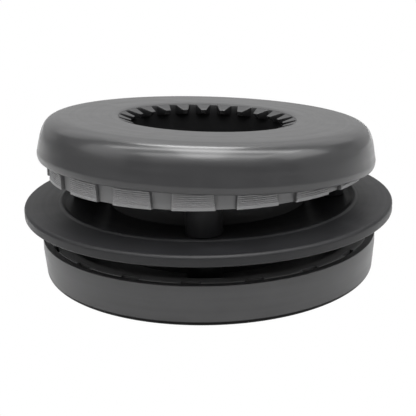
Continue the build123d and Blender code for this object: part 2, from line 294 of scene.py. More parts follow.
# ---- node building
class Sketch:
    """Adds nodes to a tree in one line each."""

    def __init__(self, tree: bpy.types.NodeTree) -> None:
        """Work on a tree."""
        self.tree = tree

    @classmethod
    def blank(cls, owner: bpy.types.Material | bpy.types.World) -> Sketch:
        """Start on the emptied tree of a material or world."""
        owner.use_nodes = True
        owner.node_tree.nodes.clear()
        return cls(owner.node_tree)

    def socket(self, name: str, kind: str, side: str = "INPUT", **values: Any) -> Any:
        """Add a named socket to the group's interface."""
        made = self.tree.interface.new_socket(name=name, in_out=side, socket_type=kind)
        for key, value in values.items():
            setattr(made, key, value)
        return made

    def add(self, kind: str, inputs: dict[Any, Any] | None = None, **settings: Any) -> Any:
        """Add a node.

        Args:
            kind: the node's type name.
            inputs: value or source socket of each input, by name or number.
            settings: the node's own settings.

        Returns:
            The node.
        """
        node = self.tree.nodes.new(kind)
        for key, value in settings.items():
            setattr(node, key, value)
        for key, value in (inputs or {}).items():
            if isinstance(value, bpy.types.NodeSocket):
                self.tree.links.new(value, node.inputs[key])
            else:
                node.inputs[key].default_value = value
        return node

    def math(self, operation: str, *values: Any, clamp: bool = False) -> Any:
        """Add a Math node and return its output."""
        inputs = dict(enumerate(values))
        return self.add("ShaderNodeMath", inputs, operation=operation, use_clamp=clamp).outputs[0]

    def band(self, value: Any, low: float, high: float, at_low: float, at_high: float) -> Any:
        """Ease from one number to another as a value passes between two limits."""
        ends = {0: value, 1: low, 2: high, 3: at_low, 4: at_high}
        return self.add("ShaderNodeMapRange", ends, interpolation_type="SMOOTHSTEP").outputs[0]

    def parts(self, vector: Any) -> Any:
        """X, Y and Z of a vector."""
        return self.add("ShaderNodeSeparateXYZ", {"Vector": vector}).outputs

    def vector(self, operation: str, *values: Any) -> Any:
        """Add a Vector Math node and return its outputs."""
        inputs = dict(enumerate(values))
        return self.add("ShaderNodeVectorMath", inputs, operation=operation).outputs

    def flat(self, place: Any) -> Any:
        """A place without its height."""
        return self.vector("MULTIPLY", place, (1.0, 1.0, 0.0))[0]

    def noise(self, place: Any, scale: Any, detail: float) -> Any:
        """Add a Noise Texture and return its grey output."""
        inputs = {"Vector": place, "Scale": scale, "Detail": detail}
        return self.add("ShaderNodeTexNoise", inputs).outputs[0]


class RoundRepeat:
    """Geometry node tree that repeats one piece round the vertical axis."""

    WELD = 2e-7    # metres within which neighbouring copies are joined

    def __init__(self) -> None:
        """Build the tree once."""
        self.tree = bpy.data.node_groups.new("repeat_round_axis", "GeometryNodeTree")
        sketch = Sketch(self.tree)
        sketch.socket("Geometry", "NodeSocketGeometry")
        self.count = sketch.socket("Count", "NodeSocketInt", default_value=4, min_value=1)
        self.first = sketch.socket("First Direction", "NodeSocketFloat")
        self.material = sketch.socket("Material", "NodeSocketMaterial")
        sketch.socket("Geometry", "NodeSocketGeometry", side="OUTPUT")
        given = sketch.add("NodeGroupInput").outputs
        places = sketch.add("GeometryNodePoints", {"Count": given["Count"]})
        number = sketch.add("GeometryNodeInputIndex")
        step = sketch.math("DIVIDE", math.tau, given["Count"])
        turn = sketch.math("MULTIPLY", number.outputs[0], step)
        angle = sketch.math("ADD", turn, given["First Direction"])
        rotation = sketch.add("ShaderNodeCombineXYZ", {"Z": angle})
        copies = {"Instance": given["Geometry"], "Rotation": rotation.outputs[0]}
        ring = sketch.add("GeometryNodeInstanceOnPoints", {"Points": places.outputs[0], **copies})
        for kind, inputs in (
            ("GeometryNodeRealizeInstances", {}),
            ("GeometryNodeMergeByDistance", {"Distance": self.WELD}),
            ("GeometryNodeSetMaterial", {"Material": given["Material"]}),
            ("NodeGroupOutput", {}),
        ):
            ring = sketch.add(kind, {"Geometry": ring.outputs[0], **inputs})

    def apply(self, obj: Piece, count: int, first: float, material: bpy.types.Material) -> None:
        """Repeat an object's mesh and keep the result as its plain mesh.

        Args:
            obj: holds one copy, drawn across +X; it gets the whole ring.
            count: number of copies.
            first: direction of the first copy in degrees.
            material: the copies' finish.
        """
        modifier = obj.modifiers.new("repeat", "NODES")
        modifier.node_group = self.tree
        modifier[self.count.identifier] = count
        modifier[self.first.identifier] = math.radians(first)
        modifier[self.material.identifier] = material
        graph = bpy.context.evaluated_depsgraph_get()
        mesh = bpy.data.meshes.new_from_object(obj.evaluated_get(graph))
        obj.modifiers.remove(modifier)
        mesh.name = obj.name
        obj.data = mesh
        finish_mesh(mesh)


# ---- shared surface effects
class Effect(Enum):
    """Surface effects that several finishes share."""

    GRAIN = "moulded_grain"
    FLOW = "flow_streaks"
    WEAR = "edge_wear"
    RECESS = "recess_shade"


class Effects:
    """Builds each shared effect as a shader node group, once."""

    SHUT = 0.3       # share of open surroundings at which a recess is at its darkest
    OPEN = 0.85      # and from which a surface counts as open
    BROADER = 22.0   # how many times wider the unevenness of gloss is than the grain
    ASIDE = 0.5      # keeps the streaks' noise off its own origin

    def __init__(self) -> None:
        """Build every group."""
        self.groups = {
            Effect.GRAIN: self._grain(),
            Effect.FLOW: self._flow(),
            Effect.WEAR: self._wear(),
            Effect.RECESS: self._recess(),
        }

    @staticmethod
    def _start(effect: Effect, inputs: dict[str, float]) -> tuple[Sketch, Any]:
        """Start a group with a Vector input and named numbers."""
        sketch = Sketch(bpy.data.node_groups.new(effect.value, "ShaderNodeTree"))
        sketch.socket("Vector", "NodeSocketVector")
        for name, value in inputs.items():
            sketch.socket(name, "NodeSocketFloat", default_value=value)
        return sketch, sketch.add("NodeGroupInput").outputs

    def _grain(self) -> bpy.types.NodeTree:
        """Fine satin grain of a spark-eroded mould, with a broad unevenness of gloss."""
        values = {"Scale": 4200.0, "Depth": 0.000004, "Strength": 0.3}
        sketch, given = self._start(Effect.GRAIN, values)
        sketch.socket("Normal", "NodeSocketVector", side="OUTPUT")
        sketch.socket("Mottle", "NodeSocketFloat", side="OUTPUT")
        fine = sketch.noise(given["Vector"], given["Scale"], 3.0)
        wide = sketch.math("DIVIDE", given["Scale"], self.BROADER)
        broad = sketch.noise(given["Vector"], wide, 4.0)
        relief = {"Strength": given["Strength"], "Distance": given["Depth"], "Height": fine}
        bump = sketch.add("ShaderNodeBump", relief)
        sketch.add("NodeGroupOutput", {"Normal": bump.outputs[0], "Mottle": broad})
        return sketch.tree

    def _flow(self) -> bpy.types.NodeTree:
        """Faint streaks round the axis, as turning marks of the mould leave."""
        sketch, given = self._start(Effect.FLOW, {"Across": 900.0, "Around": 1.2})
        sketch.socket("Streaks", "NodeSocketFloat", side="OUTPUT")
        flat = sketch.flat(given["Vector"])
        radius = sketch.vector("LENGTH", flat)["Value"]
        across = sketch.math("MULTIPLY", radius, given["Across"])
        height = sketch.math("MULTIPLY", sketch.parts(given["Vector"])["Z"], given["Across"])
        swing = sketch.parts(sketch.vector("NORMALIZE", flat)[0])
        place = sketch.add(
            "ShaderNodeCombineXYZ",
            {
                "X": sketch.math("MULTIPLY_ADD", swing[0], given["Around"], self.ASIDE),
                "Y": sketch.math("MULTIPLY", swing[1], given["Around"]),
                "Z": sketch.math("ADD", across, height),
            },
        )
        streaks = sketch.noise(place.outputs[0], 1.0, 2.0)
        sketch.add("NodeGroupOutput", {"Streaks": streaks})
        return sketch.tree

    def _wear(self) -> bpy.types.NodeTree:
        """Mask of rubbed outer edges, broken up by noise."""
        sketch, given = self._start(Effect.WEAR, {"Sharpness": 9.0, "Breakup": 700.0})
        sketch.socket("Worn", "NodeSocketFloat", side="OUTPUT")
        point = sketch.add("ShaderNodeNewGeometry").outputs["Pointiness"]
        outer = sketch.math("SUBTRACT", point, 0.5)
        sharp = sketch.math("MULTIPLY", outer, given["Sharpness"], clamp=True)
        noise = sketch.noise(given["Vector"], given["Breakup"], 2.0)
        worn = sketch.math("MULTIPLY", sharp, noise, clamp=True)
        sketch.add("NodeGroupOutput", {"Worn": worn})
        return sketch.tree

    def _recess(self) -> bpy.types.NodeTree:
        """Painted shade where walls stand close, darkest deep in corners and recesses."""
        sketch, given = self._start(Effect.RECESS, {"Reach": 0.0016, "Strength": 0.5})
        sketch.socket("Shade", "NodeSocketFloat", side="OUTPUT")
        sky = sketch.add("ShaderNodeAmbientOcclusion", {"Distance": given["Reach"]}, samples=12)
        depth = sketch.band(sky.outputs["AO"], self.SHUT, self.OPEN, 1.0, 0.0)
        lost = sketch.math("MULTIPLY", depth, given["Strength"])
        sketch.add("NodeGroupOutput", {"Shade": sketch.math("SUBTRACT", 1.0, lost)})
        return sketch.tree

    def place(self, sketch: Sketch, effect: Effect, inputs: dict[str, Any]) -> Any:
        """Put an effect into a material and return its outputs."""
        return sketch.add("ShaderNodeGroup", inputs, node_tree=self.groups[effect]).outputs


# ---- finishes
@dataclass(frozen=True)
class MouldedFinish:
    """Satin moulded plastic or rubber."""

    PALE_GAIN: ClassVar[float] = 1.7       # colour of rubbed edges: so many times the plain one
    PALE_LIFT: ClassVar[float] = 0.02      # and so much more
    FOOT_SHADE: ClassVar[float] = 0.1      # share of tone and gloss left at the foot
    FOOT_FADE: ClassVar[float] = 0.0003    # height over which the foot's shade ends
    HOLLOW_BAND: ClassVar[float] = 0.0003  # either side of the panels' radius, at full shade
    HOLLOW_EDGE: ClassVar[float] = 0.0005  # and where the shade has ended

    name: str
    colour: Space
    rough: float
    gloss: float = 0.5           # specular level
    colour_play: float = 0.12    # share of colour that streaks and mottle move
    rough_play: float = 0.07
    wear: float = 0.25           # how far rubbed edges go towards a paler colour
    grain_scale: float = 4200.0
    grain_depth: float = 0.000004    # in metres, as is every reach, height and radius
    metal: float = 0.0
    recess: float = 0.0          # share of tone and gloss lost deep in corners, as painted shade
    recess_reach: float = 0.0016
    foot_height: float = 0.0     # band above the base that stays in shade
    streak_depth: float = 0.0    # height of the mould's turning marks
    polish: float = 0.0          # weight of a finer polish over the satin
    polish_rough: float = 0.16
    polish_from: float = 0.0     # heights between which the polish sets in
    polish_to: float = 0.0
    hollow_radius: float = 0.0   # radius of sunk panels that get painted shade
    hollow_shade: float = 0.85   # share of tone and gloss left there
    turn: Matrix | None = None   # untilts the streaks on a leaning piece

    def build(self, effects: Effects) -> bpy.types.Material:
        """Make the material.

        Args:
            effects: the shared surface effects.

        Returns:
            The material, ready for a mesh slot.
        """
        material = bpy.data.materials.new(self.name)
        sketch = Sketch.blank(material)
        place = self.level_place(sketch)
        grains = {"Vector": place, "Scale": self.grain_scale, "Depth": self.grain_depth}
        grain = effects.place(sketch, Effect.GRAIN, grains)
        flow = effects.place(sketch, Effect.FLOW, {"Vector": place})
        play = sketch.math("ADD", flow["Streaks"], grain["Mottle"])
        play = sketch.math("SUBTRACT", play, 1.0)
        shade = sketch.math("MULTIPLY_ADD", play, 2 * self.colour_play, 1.0)
        gloss: Any = self.gloss
        for painted_share in self.painted_shades(sketch, effects, place):
            shade = sketch.math("MULTIPLY", shade, painted_share)
            gloss = sketch.math("MULTIPLY", gloss, painted_share)
        rough = sketch.math("MULTIPLY_ADD", play, 2 * self.rough_play, self.rough)
        normal = grain["Normal"]
        if self.streak_depth > 0:
            marks = {"Distance": self.streak_depth, "Height": flow["Streaks"], "Normal": normal}
            normal = sketch.add("ShaderNodeBump", marks).outputs[0]
        surface = {
            "Base Color": self.rubbed_colour(sketch, effects, place, shade),
            "Roughness": sketch.math("MAXIMUM", rough, SMOOTHEST),
            "Metallic": self.metal,
            "Specular IOR Level": gloss,
            "Normal": normal,
        }
        if self.polish > 0:
            height = sketch.parts(place)["Z"]
            weight = sketch.band(height, self.polish_from, self.polish_to, 0.0, self.polish)
            surface["Coat Weight"] = weight
            surface["Coat Roughness"] = self.polish_rough
            surface["Coat Normal"] = normal
        shader = sketch.add("ShaderNodeBsdfPrincipled", surface)
        sketch.add("ShaderNodeOutputMaterial", {"Surface": shader.outputs[0]})
        return material

    def level_place(self, sketch: Sketch) -> Any:
        """Object coordinates, turned level on a leaning piece."""
        place = sketch.add("ShaderNodeTexCoord").outputs["Object"]
        if self.turn is None:
            return place
        level = {"Rotation": self.turn.to_euler(), "Location": self.turn.to_translation()}
        return sketch.add("ShaderNodeMapping", {"Vector": place, **level}).outputs[0]

    def painted_shades(self, sketch: Sketch, effects: Effects, place: Any) -> Iterator[Any]:
        """Painted shade: shares of tone and gloss that are left in corners, at the foot and in the
        panels.
        """
        # painted shade in corners and recesses, from ambient occlusion
        if self.recess > 0:
            depth = {"Vector": place, "Strength": self.recess, "Reach": self.recess_reach}
            yield effects.place(sketch, Effect.RECESS, depth)["Shade"]
        # painted shadow along the base's bottom edge
        if self.foot_height > 0:
            start = self.foot_height - self.FOOT_FADE
            height = sketch.parts(place)["Z"]
            yield sketch.band(height, start, self.foot_height, self.FOOT_SHADE, 1.0)
        # painted shade on the sunk panels round a collar
        if self.hollow_radius > 0:
            radius = sketch.vector("LENGTH", sketch.flat(place))["Value"]
            away = sketch.math("ABSOLUTE", sketch.math("SUBTRACT", radius, self.hollow_radius))
            yield sketch.band(away, self.HOLLOW_BAND, self.HOLLOW_EDGE, self.hollow_shade, 1.0)

    def rubbed_colour(self, sketch: Sketch, effects: Effects, place: Any, shade: Any) -> Any:
        """The colour under its shade, and paler at rubbed edges."""
        worn = effects.place(sketch, Effect.WEAR, {"Vector": place})["Worn"]
        share = sketch.math("MULTIPLY", worn, self.wear)
        toned = sketch.vector("MULTIPLY", self.colour, shade)[0]
        pale = [min(1.0, c * self.PALE_GAIN + self.PALE_LIFT) for c in self.colour]
        blend = {0: share, 6: toned, 7: (*pale, 1.0)}
        return sketch.add("ShaderNodeMix", blend, data_type="RGBA").outputs[2]


class Finishes:
    """The finishes of this grommet, by short names."""

    def __init__(self, effects: Effects, lean: Matrix) -> None:
        """Make every material.

        Args:
            effects: the shared surface effects.
            lean: how the top cap stands against level.
        """
        level = lean.inverted()
        finishes = {
            "cap": MouldedFinish(
                "cap_plastic", (0.024, 0.024, 0.025), 0.33, streak_depth=0.00002, turn=level,
                polish=0.42, polish_from=0.0288, polish_to=0.0314,
            ),
            # painted shade in the bowl's corners, and a painted shadow along its bottom edge
            "bowl": MouldedFinish(
                "cap_plastic_lower", (0.031, 0.031, 0.032), 0.38, colour_play=0.26,
                streak_depth=0.000016, recess=0.72, recess_reach=0.0011, foot_height=0.00148,
            ),
            # painted shade in the slots, on the fingers' end faces and inside the hole
            "finger": MouldedFinish(
                "finger_rubber", (0.024, 0.024, 0.025), 0.34,
                recess=0.65, recess_reach=0.045, turn=level,
            ),
            # painted shade in the collar's corners and on its sunk panels
            "collar": MouldedFinish(
                "collar_plastic", (0.17, 0.17, 0.172), 0.50,
                wear=0.3, recess=0.5, hollow_radius=0.0365,
            ),
            # painted shade at the bead's feet and in the recess
            "flange": MouldedFinish(
                "flange_plastic", (0.011, 0.011, 0.012), 0.45,
                gloss=0.28, colour_play=0.26, recess=0.6, recess_reach=0.0008,
            ),
            "post": MouldedFinish("post_plastic", (0.011, 0.011, 0.012), 0.45, gloss=0.22),
            # sleeve lighter than its own grey: painted light that lifts the shade in the gaps
            "sleeve": MouldedFinish("sleeve_plastic", (0.045, 0.045, 0.046), 0.50),
            "steel": MouldedFinish(
                "zinc_steel", (0.55, 0.55, 0.56), 0.32, metal=1.0, grain_depth=0.000002,
            ),
        }
        self.made = {key: finish.build(effects) for key, finish in finishes.items()}

    def __getitem__(self, key: str) -> bpy.types.Material:
        """Material of a finish."""
        return self.made[key]


# ---- sub-assemblies
@dataclass
class SubAssembly:
    """What every group of pieces needs."""

    finishes: Finishes
    repeat: RoundRepeat
    body: str = "core"
    pieces: list[Piece] = field(default_factory=list)

    def keep(self, obj: Piece, finish: str, slot: str, *nodes: str) -> None:
        """Dress a finished piece and set it in the place of its frame nodes.

        Args:
            obj: the piece.
            finish: name of its finish.
            slot: the record's material slot; not used.
            nodes: the frame nodes that it stands for.
        """
        obj.data.materials.clear()
        obj.data.materials.append(self.finishes[finish])
        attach(obj, self.body)
        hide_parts(*nodes)
        self.pieces.append(obj)


@dataclass
class FlangePlate(SubAssembly):
    """Wide thin disc with a bead round a shallow recess."""

    bead_radius: float = 34.45
    bead_width: float = 1.3
    bead_height: float = 0.4
    bead_foot: float = 0.1
    bead_steps: int = 12
    recess_slope: float = 0.6
    recess_depth: float = 0.35
    bore_radius: float = 23.35
    bore_edge: float = 0.15
    seat_radius: float = 40.3
    seat_step: float = 0.2
    seat_edge: float = 0.08
    top_round: float = 0.8
    bottom_round: float = 0.4

    def build(self) -> None:
        """Make the plate between the heights of its node."""
        low, high = (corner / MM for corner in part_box("flange_plate"))
        top = high.z - self.bead_height
        floor = top - self.recess_depth
        bead_in = self.bead_radius - self.bead_width / 2
        outline = rounded([
            (self.bore_radius, low.z + self.seat_step, self.bore_edge),
            (self.seat_radius, low.z + self.seat_step, 0.0),
            (self.seat_radius, low.z, self.seat_edge),
            (high.x, low.z, self.bottom_round),
            (high.x, top, self.top_round),
            (self.bead_radius + self.bead_width / 2 + self.bead_foot, top, 0.0),
        ], 8)
        for step in range(1, self.bead_steps):
            share = step / self.bead_steps
            along = self.bead_radius + self.bead_width * (0.5 - share)
            outline.append((along, top + self.bead_height * math.sin(math.pi * share)))
        outline += [
            (bead_in - self.bead_foot / 2, top), (bead_in - self.recess_slope, floor),
            (self.bore_radius + self.bore_edge, floor), (self.bore_radius, floor - self.bore_edge),
        ]
        obj = turned("flange_plate_moulded", outline, 360)
        self.keep(obj, "flange", "flange_plastic", "flange_plate")


class Column(Enum):
    """Where a column of points stands across one pitch of a collar."""

    PANEL = "middle of a sunk panel"
    FOOT = "end of a panel, beside a block"
    EDGE = "chamfer of a block's side"
    BLOCK = "face of a block"


@dataclass
class RibbedCollar(SubAssembly):
    """Ring of raised, finely ridged blocks with a flat web."""

    node: str = "upper_collar"
    upside_down: bool = False
    first_block: float = -94.6
    blocks: int = 18
    block_angle: float = 13.6
    draft_angle: float = 1.15
    panel_depth: float = 0.95
    wall: float = 1.9
    web: float = 1.6
    web_fillet: float = 0.3
    lead_in: float = 0.5
    plain_band: float = 0.8
    band_edge: float = 0.02
    ridge_pitch: float = 0.42
    # depth and height of each point of the groove that parts two ridges
    groove: tuple[Point, ...] = ((0.1, 0.06), (0.1, 0.16), (0.02, 0.26), (0.0, 0.36))
    edge: float = 0.1
    hole_radius: float = 23.35

    def outer_face(self, radius: float, height: float) -> list[Point]:
        """Radius and height of each point up the face of a block, with its ridges."""
        face = [(radius - self.edge, 0.0), (radius, self.edge)]
        face.append((radius, self.plain_band - self.band_edge))
        top = height - self.lead_in
        z = self.plain_band
        while z + self.ridge_pitch < top:
            face += [(radius - depth, z + rise) for depth, rise in self.groove]
            z += self.ridge_pitch
        return face + [(radius, top), (radius - self.lead_in, height)]

    def build(self) -> None:
        """Make one pitch of the ring and repeat it."""
        low, high = (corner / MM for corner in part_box(self.node))
        height = high.z - low.z
        radius = round((high.x - low.x) / 2, 1)    # the box is at most a facet short of it
        panel = radius - self.panel_depth
        inner = panel - self.wall
        face = self.outer_face(radius, height)
        half_pitch = 180 / self.blocks
        web = height - self.web
        back = [
            (self.hole_radius + self.edge, height), (self.hole_radius, height - self.edge),
            (self.hole_radius, web + self.edge), (self.hole_radius + self.edge, web),
            (inner - self.web_fillet, web), (inner, web - self.web_fillet),
            (inner, self.edge), (inner + self.edge, 0.0),
        ]
        chamfer = math.degrees(self.edge / radius)
        half_back = (self.block_angle - self.draft_angle) / 2

        def column(kind: Column, share: float) -> list[Space]:
            """Closed column of points at one place across the pitch."""
            points: list[Space] = []
            for r, z in face:
                half = (self.block_angle - self.draft_angle * z / height) / 2
                if kind is Column.PANEL:
                    points.append(polar(min(r, panel), half_pitch * share, z))
                elif kind is Column.FOOT:
                    points.append(polar(min(r, panel), half * share, z))
                elif kind is Column.EDGE:
                    points.append(polar(max(min(r, panel), r - self.edge), half * share, z))
                else:
                    points.append(polar(r, (half - chamfer) * share, z))
            span = half_pitch if kind is Column.PANEL else half_back
            points += [polar(r, span * share, z) for r, z in back]
            points.append(points[0])
            return points

        side = (Column.PANEL, Column.FOOT, Column.EDGE)
        columns = [column(kind, -1.0) for kind in side]
        columns += [column(Column.BLOCK, s / 4) for s in range(-4, 5)]
        columns += [column(kind, 1.0) for kind in reversed(side)]
        weld = Weld()
        weld.grid(columns)
        obj = weld.build(self.node + "_moulded")
        if self.upside_down:
            obj.data.transform(Matrix.Scale(-1, 4, (0, 0, 1)))
        base = high.z if self.upside_down else low.z
        obj.data.transform(Matrix.Translation((0, 0, base * MM)))
        self.repeat.apply(obj, self.blocks, self.first_block, self.finishes["collar"])
        self.keep(obj, "collar", "collar_plastic", self.node)


@dataclass
class SpacerPosts(SubAssembly):
    """Four tapered round posts between the flange and a collar's web."""

    level: str = "upper"
    circle: float = 28.0
    first: float = -92.0
    foot_radius: float = 4.0
    head_radius: float = 3.85
    bore: float = 1.65
    bore_edge: float = 0.1
    edge: float = 0.3
    sides: tuple[str, ...] = ("front", "right", "back", "left")

    def build(self) -> None:
        """Make one post across +X and repeat it."""
        low, high = (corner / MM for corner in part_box(f"{self.level}_post_front"))
        bottom, top = self.foot_radius, self.head_radius
        if self.level == "lower":
            bottom, top = top, bottom
        outline = rounded([
            (self.bore, low.z, self.bore_edge), (bottom, low.z, self.edge),
            (top, high.z, self.edge), (self.bore, high.z, self.bore_edge),
        ])
        obj = turned(f"{self.level}_posts_moulded", outline, 72)
        obj.data.transform(Matrix.Translation((self.circle * MM, 0, 0)))
        self.repeat.apply(obj, len(self.sides), self.first, self.finishes["post"])
        nodes = (f"{self.level}_post_{side}" for side in self.sides)
        self.keep(obj, "post", "post_plastic", *nodes)


@dataclass
class CableSleeve(SubAssembly):
    """Thin tube with a lip on the upper web."""

    bore: float = 22.3
    wall: float = 1.0
    lip: float = 1.0
    lip_thickness: float = 0.4
    edge: float = 0.15
    mouth_round: float = 0.3

    def build(self) -> None:
        """Make the tube between the heights of its node."""
        low, high = (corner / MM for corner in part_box("cable_sleeve"))
        web = high.z - self.lip_thickness
        outside = self.bore + self.wall
        outline = rounded([
            (self.bore, low.z, self.edge), (outside, low.z, self.edge),
            (outside, web, 0.0), (outside + self.lip, web, 0.0),
            (outside + self.lip, high.z, self.edge), (self.bore, high.z, self.mouth_round),
        ])
        obj = turned("cable_sleeve_moulded", outline)
        self.keep(obj, "sleeve", "sleeve_plastic", "cable_sleeve")


@dataclass
class TopCap(SubAssembly):
    """Domed shell and the crown of fingers under its roof, drawn level and then leaned."""

    lean: Matrix = field(default_factory=Matrix)
    lip_z: float = 23.8
    height: float = 9.5
    widest: float = 39.1
    bore: float = 37.9
    lip_edge: float = 0.2
    lip_edge_middle: float = 0.06
    lip_turn_in: float = 0.4
    lip_height: float = 1.5
    side_inset: float = 0.35
    side_rise: float = 3.3
    shoulder_run: float = 5.75
    foot_pull: float = 3.4
    top_pull: float = 4.7
    ceiling_share: float = 0.66
    roof: float = 1.5
    crest_run: float = 1.6
    funnel_edge: float = 20.65
    rib_outer: float = 34.4
    rib_width: float = 1.2
    rib_edge: float = 0.15
    rib_root: float = 0.25
    rib_gap: float = 0.1
    rib_clearance: float = 0.3
    collar_top_z: float = 29.4
    slots: int = 24
    first_slot: float = 85.0
    root_radius: float = 20.45
    tip_radius: float = 17.6
    fall: float = 18.0
    finger_thickness: float = 1.1
    tip_undercut: float = 0.8
    slot_root_width: float = 1.8
    slot_tip_width: float = 3.3
    rim_radius: float = 24.5
    rim_thickness: float = 1.2
    skirt_wall: float = 1.0
    skirt_reach: float = 4.6
    shell_gap: float = 0.02
    finger_edge: float = 0.12
    edge_angle: float = 38.0

    def build(self) -> None:
        """Make the shell and the crown."""
        self.build_shell()
        self.build_crown()

    def build_shell(self) -> None:
        """Turn the dome, with its hollow and stop rib, in one outline."""
        lip, top = self.lip_z, self.lip_z + self.height
        ceiling = top - self.roof
        side_z = lip + self.side_rise
        side = self.widest - self.side_inset
        flat = side - self.shoulder_run
        crest = self.funnel_edge + self.crest_run
        crease = lip + self.lip_height
        lean = Vector((side - self.widest, side_z - crease)).normalized() * self.foot_pull
        foot_pull = (side + lean.x, side_z + lean.y)
        shoulder = eased((side, side_z), foot_pull, (flat + self.top_pull, top), (flat, top), 48)
        roll = self.crest_roll(crest, top, 12)
        turn_in = self.widest - self.lip_turn_in
        bend, lip_in = self.lip_edge_middle, (self.bore + self.lip_edge, lip)
        outline = [(self.bore, lip + self.lip_edge), (self.bore + bend, lip + bend), lip_in]
        outline += divided(lip_in, (turn_in, lip), 3)
        outline += swell((turn_in, crease), self.lip_turn_in, self.lip_height, -90, 12)
        outline += divided((self.widest, crease), (side, side_z), 6)
        outline += [*shoulder, *divided(shoulder[-1], roll[0], 10), *roll]
        outline.append((self.funnel_edge, ceiling))
        rib_in = self.rib_outer - self.rib_width
        rib_z = self.collar_top_z + self.rib_clearance
        edge = self.rib_edge
        outline += [
            (rib_in, ceiling), (rib_in, rib_z + edge), (rib_in + edge, rib_z),
            (self.rib_outer - edge, rib_z), (self.rib_outer, rib_z + edge),
            (self.rib_outer, ceiling - self.rib_root),
        ]
        inner_run = self.shoulder_run * self.ceiling_share
        inner = swell((self.bore - inner_run, side_z), inner_run, ceiling - side_z, 0, 24)
        outline += [p for p in reversed(inner) if p[0] > self.rib_outer + self.rib_gap]
        obj = turned("top_cap_dome", outline, 384)
        obj.data.transform(self.lean)
        self.keep(obj, "cap", "cap_plastic", "top_cap_shell")

    def crest_roll(self, crest: float, top: float, steps: int) -> list[Point]:
        """Arc from the flat top down to the fingers' fall."""
        fall = math.radians(self.fall)
        bend = self.crest_run / math.sin(fall)
        turns = (fall * step / steps for step in range(steps + 1))
        return [(crest - bend * math.sin(t), top - bend * (1 - math.cos(t))) for t in turns]

    def surface_z(self, radius: float) -> float:
        """Height of the fingers' upper face at a radius."""
        fall = math.radians(self.fall)
        drop = self.crest_run * math.tan(fall / 2)
        return self.lip_z + self.height - drop - (self.funnel_edge - radius) * math.tan(fall)

    def build_crown(self) -> None:
        """Make one finger with its piece of rim and repeat it."""
        ceiling = self.lip_z + self.height - self.roof
        rim_z = ceiling - self.rim_thickness
        edge = self.funnel_edge - self.shell_gap
        under_roof = ceiling - self.shell_gap
        tip_z = self.surface_z(self.tip_radius)
        half_pitch = 180 / self.slots
        half_root = self.root_radius * math.radians(half_pitch) - self.slot_root_width / 2
        half_tip = self.tip_radius * math.radians(half_pitch) - self.slot_tip_width / 2
        at_root = math.degrees(math.asin(half_root / self.root_radius))
        weld = Weld()
        over = [
            (self.root_radius, self.surface_z(self.root_radius)), (edge, self.surface_z(edge)),
            (edge, under_roof), (self.rim_radius, under_roof), (self.rim_radius, rim_z),
            (self.root_radius + self.skirt_wall, rim_z),
            (self.root_radius + self.skirt_wall, rim_z - self.skirt_reach),
            (self.root_radius, rim_z - self.skirt_reach), (self.root_radius, rim_z),
        ]
        shares = [s / 4 for s in range(-4, 5)]
        stations = [-half_pitch, *(at_root * s for s in shares), half_pitch]
        weld.grid([[polar(r, a, z) for r, z in over] for a in stations])
        for pair in ((-half_pitch, -at_root), (at_root, half_pitch)):
            weld.grid([[polar(r, angle, z) for r, z in (over[-1], over[0])] for angle in pair])
        rows = 6
        upper: list[list[Space]] = []
        under: list[list[Space]] = []
        for row in range(rows + 1):
            t = row / rows
            radius = self.root_radius + (self.tip_radius - self.root_radius) * t
            half = half_root + (half_tip - half_root) * t
            top_z = self.surface_z(radius)
            low_z = rim_z + (tip_z - self.finger_thickness - rim_z) * t
            turn = [math.degrees(math.asin(half * s / radius)) for s in shares]
            upper.append([polar(radius, a, top_z) for a in turn])
            under.append([polar(radius + self.tip_undercut * t, a, low_z) for a in turn])
        weld.grid(upper)
        weld.grid(under)
        for column in (0, -1):
            weld.grid([[row[column] for row in upper], [row[column] for row in under]])
        weld.grid([upper[-1], under[-1]])
        obj = weld.build("finger_crown_moulded")
        softened(obj, self.finger_edge, self.edge_angle)
        first = self.first_slot + half_pitch
        self.repeat.apply(obj, self.slots, first, self.finishes["finger"])
        obj.data.transform(self.lean)
        self.keep(obj, "finger", "finger_rubber", "finger_crown")


@dataclass
class LowerCap(SubAssembly):
    """Bowl with a flat rim and a tight rounded bottom edge."""

    radius: float = 39.2
    height: float = 9.3
    wall: float = 1.5
    land: float = 2.5
    taper: float = 0.45
    corner_height: float = 1.6
    corner_run: float = 2.0
    floor: float = 1.5
    mouth: float = 22.3
    mouth_edge: float = 0.15
    rim_edge: float = 0.12
    rim_inner_edge: float = 0.04
    inner_land: float = 0.6
    ledge_inset: float = 2.6
    ledge_width: float = 1.2
    ledge_z: float = 3.9
    ledge_edge: float = 0.1

    def build(self) -> None:
        """Turn the bowl in one outline."""
        side = self.radius - self.taper
        base = side - self.corner_run
        bore = self.radius - self.wall
        corner = swell((base, self.corner_height), self.corner_run, self.corner_height, -90, 14)
        inner_top = self.corner_height + self.floor
        inner = swell((base, inner_top), bore - base, self.corner_height, -90, 10)
        ledge_out = bore - self.ledge_inset
        ledge_in = ledge_out - self.ledge_width
        edge, step = self.mouth_edge, self.ledge_edge
        ledge = self.ledge_z - step
        outline = [(self.mouth, edge), (self.mouth + edge, 0.0)] + corner
        outline += divided(corner[-1], (self.radius, self.height - self.land), 6)
        outline += rounded([
            (self.radius, self.height - self.land, 0.0), (self.radius, self.height, self.rim_edge),
            (bore, self.height, self.rim_inner_edge), (bore, inner_top + self.inner_land, 0.0),
        ])
        outline += reversed(inner)
        outline += [
            (ledge_out, self.floor), (ledge_out, ledge), (ledge_out - step, self.ledge_z),
            (ledge_in + step, self.ledge_z), (ledge_in, ledge), (ledge_in, self.floor),
            (self.mouth + edge, self.floor), (self.mouth, self.floor - edge),
        ]
        obj = turned("lower_cap_bowl", outline, 360)
        self.keep(obj, "bowl", "cap_plastic", "lower_cap")


@dataclass
class Fasteners(SubAssembly):
    """Through screws and lock nuts, which keep their frame shapes."""

    def dress(self, nodes: dict[str, Piece]) -> None:
        """Give the frame's own screws and nuts a zinc finish."""
        for name in ("through_screws", "lock_nuts"):
            slots = nodes[name].data.materials
            slots.clear()
            slots.append(self.finishes["steel"])


